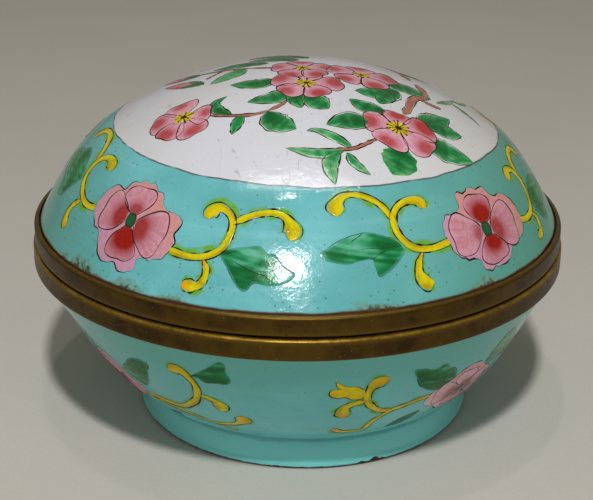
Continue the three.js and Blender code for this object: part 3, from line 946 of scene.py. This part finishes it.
# ---------------------------------------------------------------------------------------------
# The two brass rims: bands spun from strip, tarnished brown, rubbed bright along their rounded
# edges. The lower one carries a thin collar inside, which keeps the lid from sliding off.
lid_rim_low, lid_rim_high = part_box("lid_rim")
bowl_rim_low, bowl_rim_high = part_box("bowl_rim")
LID_RIM_RADIUS = 52.5
LID_RIM_INNER_RADIUS = 49.6
LID_RIM_LEDGE_Z = 39.9
BOWL_RIM_RADIUS = 52.9
BOWL_RIM_TOP_Z = 36.6
BOWL_RIM_LEDGE_Z = 34.0
COLLAR_RADIUS = 49.2
COLLAR_INNER_RADIUS = 48.0
BOWL_EDGE_RADIUS = 52.0
SEAT_GAP = 0.3  # between a rim's lip and the enamelled edge inside it
EDGE_ROUNDING = 0.6  # of each band's upper corner
LOWER_ROUNDING = EDGE_ROUNDING / 2  # and of its lower one
BRASS_TARNISHED = rgb(88, 68, 20)
BRASS_BROWN = rgb(58, 38, 17)
BRASS_BRIGHT = rgb(206, 164, 62)
BRASS_SPOT = rgb(30, 24, 16)


def corner(radius, height, rounding, start, end, steps=7):
    """A quarter round about a centre, from one angle in degrees to another."""
    angle = np.radians(np.linspace(start, end, steps))
    return list(zip(radius + rounding * np.cos(angle), height + rounding * np.sin(angle)))


def outer_face(radius, top, bottom):
    """A band's outer side: rounded above, very slightly bellied, and rounded less below."""
    upper, lower = top - EDGE_ROUNDING, bottom + LOWER_ROUNDING
    middle, half = (upper + lower) / 2, (upper - lower) / 2
    belly = [(radius - 0.025 * ((z - middle) / half) ** 2, z) for z in np.linspace(upper, lower, 6)[1:-1]]
    return [*corner(radius - EDGE_ROUNDING, upper, EDGE_ROUNDING, 90, 0), *belly,
            *corner(radius - LOWER_ROUNDING, lower, LOWER_ROUNDING, 0, -90, 5)]


def brass():
    """Old brass: golden under a brown skin that is thinner where the rubbed attribute is high,
    with dark spots, bright nicks, drawn lines and shallow dents."""
    material, tree, where = new_material("old brass")
    rubbed = add(tree, "Attribute", attribute_name="rubbed").outputs["Fac"]
    skin = cloud(tree, where, 7, 5, 0.65)
    fine = cloud(tree, where, 0.45, 3, 0.7)
    drawn = cloud(tree, where, 3, 3, 0.6, (0.3, 0.3, 9))
    nicks = pinholes(tree, where, 0.9, 0.12, 0.4)
    colour = over(tree, between(tree, skin, 0.35, 0.68), BRASS_TARNISHED, BRASS_BROWN)
    patchy = sums(tree, "ADD", skin, times(tree, fine, 0.5))
    worn = times(tree, rubbed, between(tree, patchy, 0.55, 0.95, 0.25, 1))
    colour = over(tree, worn, colour, BRASS_BRIGHT)
    spots = pinholes(tree, where, 2.2, 0.22, 0.5)
    colour = over(tree, times(tree, spots, 0.6), colour, BRASS_SPOT)
    colour = over(tree, times(tree, nicks, 0.5), colour, BRASS_BRIGHT)
    rough = sums(tree, "SUBTRACT", between(tree, fine, 0.3, 0.7, 0.34, 0.5), times(tree, worn, 0.12))
    bump = add(tree, "Bump", {"Height": drawn, "Strength": 0.25, "Distance": 0.05 * MM})
    for relief, strength, depth in ((fine, 0.6, 0.04), (cloud(tree, where, 8, 1), 0.5, 0.12)):
        bump = add(tree, "Bump", {"Height": relief, "Strength": strength, "Distance": depth * MM,
                                  "Normal": bump.outputs[0]})
    feed(tree, tree.nodes["Principled BSDF"], {"Base Color": colour, "Metallic": 0.85, "Roughness": rough,
                                               "Normal": bump.outputs[0]})
    return material


def spin_band(name, line, outer_radius, edges, node):
    """Turns a rim and marks it as rubbed near given heights: edges are (height, reach, share)."""
    piece, spots = ring_mesh(name, line, closed=True)
    outside = spots[:, 0] ** 2 + spots[:, 1] ** 2 > (outer_radius - 1.2) ** 2
    near = sum(np.exp(-((spots[:, 2] - height) / reach) ** 2) * share for height, reach, share in edges)
    finish_turned(piece, "rubbed", np.clip(near, 0, 1) * outside, old_brass, node)


old_brass = brass()
lid_bottom, lid_lip = lid_rim_low.z / MM, lid_rim_high.z / MM
lid_band_line = [
    (LID_EDGE_RADIUS + SEAT_GAP, lid_lip),
    *outer_face(LID_RIM_RADIUS, lid_lip, lid_bottom),
    (LID_RIM_INNER_RADIUS, lid_bottom),
    (LID_RIM_INNER_RADIUS, LID_RIM_LEDGE_Z),
    (LID_EDGE_RADIUS + SEAT_GAP, LID_RIM_LEDGE_Z),
]
spin_band("lid_band", lid_band_line, LID_RIM_RADIUS,
          [(lid_lip, 0.25, 0.35), (lid_bottom + 0.5, 0.25, 0.35)], "lid_rim")

bowl_lip, collar_top = bowl_rim_low.z / MM, bowl_rim_high.z / MM
bowl_band_line = [
    (COLLAR_INNER_RADIUS, collar_top),
    *corner(COLLAR_RADIUS - LOWER_ROUNDING, collar_top - LOWER_ROUNDING, LOWER_ROUNDING, 90, 0, 4),
    (COLLAR_RADIUS, BOWL_RIM_TOP_Z),
    *outer_face(BOWL_RIM_RADIUS, BOWL_RIM_TOP_Z, bowl_lip),
    (BOWL_EDGE_RADIUS + SEAT_GAP, bowl_lip),
    (BOWL_EDGE_RADIUS + SEAT_GAP, BOWL_RIM_LEDGE_Z),
    (COLLAR_INNER_RADIUS, BOWL_RIM_LEDGE_Z),
]
spin_band("bowl_band", bowl_band_line, BOWL_RIM_RADIUS,
          [(BOWL_RIM_TOP_Z - 0.2, 0.3, 1.0), (bowl_lip, 0.25, 0.2)], "bowl_rim")

# ---------------------------------------------------------------------------------------------
# The bowl: raised copper on a soldered foot ring, enamelled turquoise inside and out. The foot
# went on a little off centre, towards +X, so each level of the bowl is slid that way.
bowl_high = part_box("bowl")[1]
BOWL_START_SLOPE = 31.9
BOWL_END_SLOPE = 60.9
FOOT_RADIUS = 34.1
FOOT_NECK_RADIUS = 33.7
FOOT_HEIGHT = 6.4
FOOT_WALL = 1.6
FOOT_LIP = 0.9  # rounding of the foot's lower edge
UNDERSIDE_Z = 4.4
FOOT_DRIFT = 1.5
BOWL_PALE_FOOT_LIT = rgb(126, 214, 212)
CREASE_SHADE = rgb(34, 104, 98)
BY_BRASS_SHADE_AND_JOINT = rgb(50, 54, 40)
METAL_BLACKENED = rgb(36, 30, 26)
BOWL_GLOSS = 0.14  # its glass is duller than the lid's, from standing and handling


def bowl_drift(height):
    """How far a level is slid towards +X: nothing at the rim, all of the drift on the ground."""
    return FOOT_DRIFT * (1 - np.minimum(height / bowl_lip, 1))


def bowl_outline():
    """The outer line from the foot's neck up to the brass."""
    return sweep((FOOT_NECK_RADIUS, FOOT_HEIGHT), (BOWL_EDGE_RADIUS, bowl_lip), BOWL_START_SLOPE,
                 BOWL_END_SLOPE, 48)


def bowl_section():
    """From the middle of the floor out and up inside, over the rim, down outside to the foot,
    and under to the middle again."""
    outside = bowl_outline()
    under = sweep((0, UNDERSIDE_Z), (FOOT_NECK_RADIUS - FOOT_WALL, UNDERSIDE_Z + 1), 0, 8, 12)
    skin = np.vstack([under, outside[1:]])
    inside = skin + outwards(skin) * WALL
    inside[0] = (0, UNDERSIDE_Z + WALL)
    top = bowl_high.z / MM
    inside = inside[inside[:, 1] < top - WALL / 2]
    rim = [(BOWL_EDGE_RADIUS - WALL, top), (BOWL_EDGE_RADIUS, top)]
    crease = [(FOOT_NECK_RADIUS + 0.1, FOOT_HEIGHT - 0.25), (FOOT_NECK_RADIUS + 0.05, FOOT_HEIGHT - 0.7)]
    wall = [(FOOT_NECK_RADIUS + 0.08, z) for z in np.linspace(FOOT_HEIGHT - 1.4, 2.0, 6)]
    lip = corner(FOOT_RADIUS - FOOT_LIP, FOOT_LIP, FOOT_LIP, 45, -90, 13)
    inner_foot = [(FOOT_RADIUS - FOOT_WALL, 0), (FOOT_RADIUS - FOOT_WALL, UNDERSIDE_Z * 0.5)]
    return np.vstack([inside, rim, outside[::-1], crease, wall, lip, inner_foot, under[::-1]])


def bowl_ground(tree, where):
    """Turquoise, a little paler all over and paler still low on the foot, where the lightening is painted
    light; painted shade along the crease over the foot; a dark line by the brass, partly a dark joint and
    partly painted shade under the rim; and the foot's lower edge worn to dark metal with a chip or two."""
    height = add(tree, "SeparateXYZ", {0: where}).outputs[2]
    colour = turquoise_ground(tree, where, between(tree, height, 12 * MM, bowl_lip * MM, 0, 0.8))
    # Paler turquoise over the whole bowl a little, and strongly low on the foot, where it is painted light
    # for the foot's lit band.
    colour = over(tree, between(tree, height, 7 * MM, 3 * MM, 0.32, 0.9), colour, BOWL_PALE_FOOT_LIT)
    shake = between(tree, cloud(tree, where, 4, 4, 0.7), 0.2, 0.8, -0.25 * MM, 0.25 * MM)
    level = sums(tree, "ADD", height, shake)
    # Painted shade: a darker teal band along the crease where the bowl meets the foot.
    crease_away = sums(tree, "ABSOLUTE", sums(tree, "SUBTRACT", level, (FOOT_HEIGHT - 0.2) * MM))
    colour = over(tree, between(tree, crease_away, 0.8 * MM, 0.1 * MM, 0, 0.35), colour, CREASE_SHADE)
    # A dark band just under the brass: partly a dark joint, partly painted shade under the rim's overhang.
    by_brass_shade_and_joint = between(tree, level, (bowl_lip - 0.5) * MM, (bowl_lip - 0.1) * MM, 0, 0.75)
    colour = over(tree, by_brass_shade_and_joint, colour, BY_BRASS_SHADE_AND_JOINT)
    wear = add(tree, "Attribute", attribute_name="wear").outputs["Fac"]
    ragged = sums(tree, "ADD", wear, between(tree, cloud(tree, where, 1.2, 5, 0.7), 0.25, 0.75, -0.18, 0.18))
    chipped = between(tree, ragged, 0.5, 0.62)
    metal = over(tree, between(tree, cloud(tree, where, 2, 3), 0.4, 0.6), METAL_BLACKENED, COPPER_BARE)
    return over(tree, chipped, colour, metal), chipped


def bowl_wear(spots):
    """Bare metal along the foot's lower edge, reaching higher at a few chips."""
    turn = np.degrees(np.arctan2(spots[:, 0], -spots[:, 1]))
    reach = np.full(len(spots), 0.6)
    chips = ((26.5, 1.8, 0.75), (22, 1.6, 0.35), (-55, 4, 0.3), (110, 3, 0.7), (-150, 3, 0.6))
    for middle, half, extra in chips:
        reach = reach + extra * np.exp(-((turn - middle) / half) ** 2)
    return np.where(spots[:, 2] < 3, np.clip(1.15 - 0.65 * spots[:, 2] / reach, 0, 1), 0)


bowl_shell, bowl_spots = ring_mesh("bowl_shell", bowl_section(), shift=bowl_drift)
bowl_glass = enamel("bowl enamel", bowl_ground, False, BOWL_GLOSS)
finish_turned(bowl_shell, "wear", bowl_wear(bowl_spots), bowl_glass, "bowl")

# ---------------------------------------------------------------------------------------------
# The bowl's painting: the same pink blooms, yellow scrolls and green leaves as on the lid, more
# loosely done, and again repeated half a turn round.
BOWL_LINE = bowl_outline()[::-1]
BOWL_BLOOM_TONES = (rgb(140, 62, 62), rgb(214, 158, 168), rgb(226, 188, 198))


def on_bowl(turn, climb, lift):
    """A spot on the bowl at a turn in degrees and a climb in millimetres from the brass, which is
    negative all the way down to the foot."""
    spot = on_line(BOWL_LINE, turn, -climb, lift)
    return spot + bowl_drift(spot[..., 2:]) * (1, 0, 0)


def bowl_blooms():
    """A bloom at either side of each face, petals loosely drawn, dark red at the heart."""
    petals = [(88, 5.6, 74, 0.5), (176, 7.4, 66, 0.7), (-4, 7.4, 66, 0.7), (-92, 5.6, 72, 0.6)]
    parts = []
    for half in HALF_TURNS:
        for heart, seed in (((-54, -19.5), 800), ((43.5, -18), 840)):
            middle = np.array([heart[0] + half, heart[1]])
            ring = np.arange(22) / 22 * 2 * math.pi
            swell = 1 + 0.1 * np.cos(4 * ring) + 0.05 * ripple(ring / 2 / math.pi, seed)
            ragged = middle + np.stack([np.cos(ring) * 11 * swell, np.sin(ring) * 6.6 * swell], -1)
            parts += bloom(on_bowl, middle, ragged, petals, seed + half, (1.2, 0.7), BOWL_BLOOM_TONES,
                           BOWL_BLOOM_TONES[1:], 0.2)
    return parts


def bowl_scrolls():
    """Left of centre a hooked scroll and a low tendril; right of centre a trefoil on a long stem."""
    scrolls = [
        ([(-42, -20.6), (-34, -20.9), (-30.5, -20.2), (-28, -18.6), (-25.3, -16.4), (-24, -14.2),
         (-23.3, -11.8), (-23.9, -9.4), (-25.8, -7.2), (-28.6, -7.8)], 2.2, 0.3, 1.5, False),
        ([(-23.8, -14.3), (-21.4, -14.6), (-19.6, -15.6), (-18.9, -17), (-19.4, -18.6)],
         2.5, 0.2, 1.3, True),
        ([(-43, -21.4), (-36, -22.4), (-30, -23.4), (-24.4, -25), (-20, -24.2), (-17.2, -23.3),
         (-14.8, -21.4), (-13.8, -19.4)], 3.0, 0.4, 1.0, False),
        ([(-24, -25), (-21, -26.6), (-18, -27.2)], 0.9, 0.2, 0.9, True),
        ([(32.8, -16.7), (30, -16.8), (26.7, -17.5), (22.8, -18.4), (20, -20.3), (18.1, -22.8),
         (16.9, -25.4), (13.9, -25.8), (10.6, -25.4), (8.3, -23.6)], 1.5, 0.7, 1.15, False),
        ([(22, -18.4), (19.4, -17.7), (17.2, -16.2), (15.7, -14.2), (15.2, -12), (15.8, -9.9), (17, -8.4),
         (19.4, -7.5)], 2.3, 0.7, 1.5, False),
        ([(15.6, -13.6), (13.6, -14), (11.6, -14.6), (10.1, -16), (10.4, -19)], 1.9, 0.95, 1.6, True),
    ]
    parts = []
    for half in HALF_TURNS:
        for index, (points, bulb, orange, width, taper) in enumerate(scrolls):
            parts += scroll(on_bowl, np.array(points) + (half, 0), 900 + 10 * index + half, bulb, orange,
                            width, start_taper=taper)
        parts += fan_lobe(half)
    return parts


def fan_lobe(half):
    """The trefoil's third lobe, opening like a fan to a scalloped end, with green bled out round it
    and a dark outline, turned round by half degrees."""
    heart = np.array([11 + half, -10.4])
    scallops = [(14.6, -10.5), (12.4, -8.9), (10.2, -8.6), (8, -7), (8.2, -8.6), (9, -9.2), (7, -9.4),
                (6.6, -11), (8.2, -12), (10.2, -11.9), (12, -12.9), (14.6, -12.6)]
    edge = smooth_path(np.array(scallops) + (half, 0), 60, True)

    def yellow(t, around, u, v):
        return cover(mix(SCROLL_YELLOW, SCROLL_ORANGE, 0.5 * t + 0.2 * ripple(around, 951) - 0.2))

    def bled(t, around, u, v):
        return cover(SCROLL_HALO, np.clip(4 - 4 * t, 0, 0.75))

    loop = np.vstack([edge, edge[:2]])
    return [filled(on_bowl, heart + (edge - heart) * 1.2, heart, bled, 0.02, 8),
            filled(on_bowl, edge, heart, yellow, PAINT_LIFT, 5),
            brushline(on_bowl, loop, 0.3, 952, PAINT_LIFT + 0.01, gaps=0.4)]


def bowl_leaves():
    """Three leaves at the left of each face and three at the right, greener than the lid's, and
    the stalk of the first."""
    leaves = [
        ([(-23.4, -8.2), (-21.4, -6.8), (-18.4, -4.6), (-15.6, -2.3), (-14.3, -3), (-14.6, -5.4),
         (-14, -7.6), (-15.4, -9.2), (-18.3, -9.2), (-20.3, -9.6), (-21.9, -8.6)], (-17.6, -7),
         [(-16.4, -5.6, 2, 0.3), (-19.4, -8.4, 1.6, 0.4)], 1000, []),
        ([(-34.2, -8.1), (-37.2, -7.6), (-41.1, -9.2), (-43.9, -11.7), (-46.7, -14.2), (-44.4, -16.1),
         (-41.1, -17.4), (-38.9, -16.1), (-36.7, -12.8), (-35.6, -10.6)], (-40, -12.4),
         [(-38, -10, 2.4, 0.5), (-43, -14, 2, 0.1)], 1010, [[(-36, -9.4), (-39.4, -12), (-43.4, -14.4)]]),
        ([(-36, -25.4), (-39, -26), (-43, -28), (-44, -30), (-40.4, -30), (-37.4, -28)], (-40, -28.2), [],
         1020, []),
        ([(24.7, -6.4), (27.2, -6.6), (30.6, -7.6), (33, -6.8), (35, -8.3), (37.4, -9.8), (39.2, -13.3),
         (37.4, -15.2), (34.4, -15.3), (31.1, -14.4), (28.3, -12.4), (26.4, -9.6)], (32, -11.4),
         [(30, -10, 2.2, 0.3), (35, -13, 2.4, 0.5), (27.4, -8.6, 1.6, 0.4)], 1030, [[(25.6, -7.2),
         (30, -10.4), (36.6, -13.6)], [(31, -8.4), (32, -11.2), (31.4, -13.8)], [(34.6, -9), (34.8, -12.4),
         (34, -14.8)]]),
        ([(48.4, -12), (50, -8.4), (53, -5.6), (56, -5.8), (60, -9), (66, -13), (62, -14.6), (56, -13.6),
         (51, -14)], (55.6, -10), [(53, -9, 2, -0.3)], 1040, [[(49, -12.6), (54, -9.6), (60, -10.6)]]),
        ([(24, -26.6), (26.4, -23.6), (29.4, -22.2), (32.8, -22), (31, -24.6), (28, -26.4)], (28.6, -24.4),
         [(29, -24.4, 2, 0.5)], 1050, []),
    ]
    parts = []
    for half in HALF_TURNS:
        parts += leaves_round(on_bowl, leaves, half, 0.9, 60, 0.62)
        stalk = smooth_path([(-24 + half, -8.6), (-22.6 + half, -8), (-21 + half, -7.4)], 8)
        parts.append(brushline(on_bowl, stalk, 0.3, 1060))
    return parts


bowl_paint = enamel("bowl paint", bowl_ground, True, BOWL_GLOSS)
painted_piece("bowl_flowers", bowl_blooms(), bowl_paint)
painted_piece("bowl_scrolls", bowl_scrolls(), bowl_paint)
painted_piece("bowl_leaves", bowl_leaves(), bowl_paint)

# ---------------------------------------------------------------------------------------------
# The table and the light: a pale cloth-covered table. A soft front light and a low card light the
# surfaces, a front gloss and a ceiling gloss give the broad reflections, a small top light gives
# the sharp one, and the room adds its own dim warm light.
CLOTH = rgb(198, 194, 187)
ROOM = rgb(152, 147, 134)


def lay_table():
    """A flat cloth, six metres wide, with a fine weave and faint broad folds painted on as shade."""
    corners = [(-3, -3, 0), (3, -3, 0), (3, 3, 0), (-3, 3, 0)]
    mesh = bpy.data.meshes.new("table")
    mesh.from_pydata(corners, [], [(0, 1, 2, 3)])
    table = bpy.data.objects.new("table", mesh)
    bpy.context.scene.collection.objects.link(table)
    material, tree, where = new_material("cloth")
    weave = cloud(tree, where, 0.9, 2)
    # Painted shade: faint broad folds darkened onto the flat cloth.
    fold_shade = cloud(tree, where, 45, 3, 0.5)
    colour = over(tree, between(tree, fold_shade, 0.3, 0.7, 0, 0.35), CLOTH, CLOTH * 0.9)
    colour = over(tree, between(tree, weave, 0.3, 0.7, 0, 0.12), colour, CLOTH * 0.75)
    bump = add(tree, "Bump", {"Height": weave, "Strength": 0.3, "Distance": 0.15 * MM})
    feed(tree, tree.nodes["Principled BSDF"], {"Base Color": colour, "Roughness": 0.95,
                                               "Specular IOR Level": 0.15, "Normal": bump.outputs[0]})
    mesh.materials.append(material)


def hang_light(name, turn, height_angle, distance, size, power, lights, tallness=1.0):
    """A soft box aimed at the middle of the box from a turn and height in degrees, as tall as its
    width times its tallness. It lights surfaces, gives gloss, or both."""
    lamp = bpy.data.lights.new(name, "AREA")
    lamp.shape = "RECTANGLE"
    lamp.size = size
    lamp.size_y = size * tallness
    lamp.energy = power
    turn, height_angle = math.radians(turn), math.radians(height_angle)
    away = Vector((math.sin(turn) * math.cos(height_angle), -math.cos(turn) * math.cos(height_angle),
                   math.sin(height_angle)))
    light = bpy.data.objects.new(name, lamp)
    facing = away.to_track_quat("Z", "Y").to_matrix().to_4x4()
    light.matrix_world = Matrix.Translation(AIM + away * distance) @ facing
    light.visible_glossy = lights != "surfaces"
    light.visible_diffuse = lights != "gloss"
    bpy.context.scene.collection.objects.link(light)


lay_table()
hang_light("front light", 2, 55, 0.8, 0.05, 4.2, "surfaces")
hang_light("low card", 2, 5, 0.5, 0.35, 0.42, "surfaces")
hang_light("front gloss", -3.4, 39.5, 0.8, 0.14, 2.9, "gloss")
hang_light("top light", -25, 84, 0.8, 0.015, 0.4, "both", 4.0)
hang_light("ceiling gloss", -4, 95, 0.8, 0.42, 0.95, "gloss", 0.1)
world = bpy.data.worlds.new("room")
world.use_nodes = True
world.node_tree.nodes["Background"].inputs[0].default_value = (*ROOM, 1)
world.node_tree.nodes["Background"].inputs[1].default_value = 0.63
bpy.context.scene.world = world
bpy.context.scene.view_settings.view_transform = "Standard"
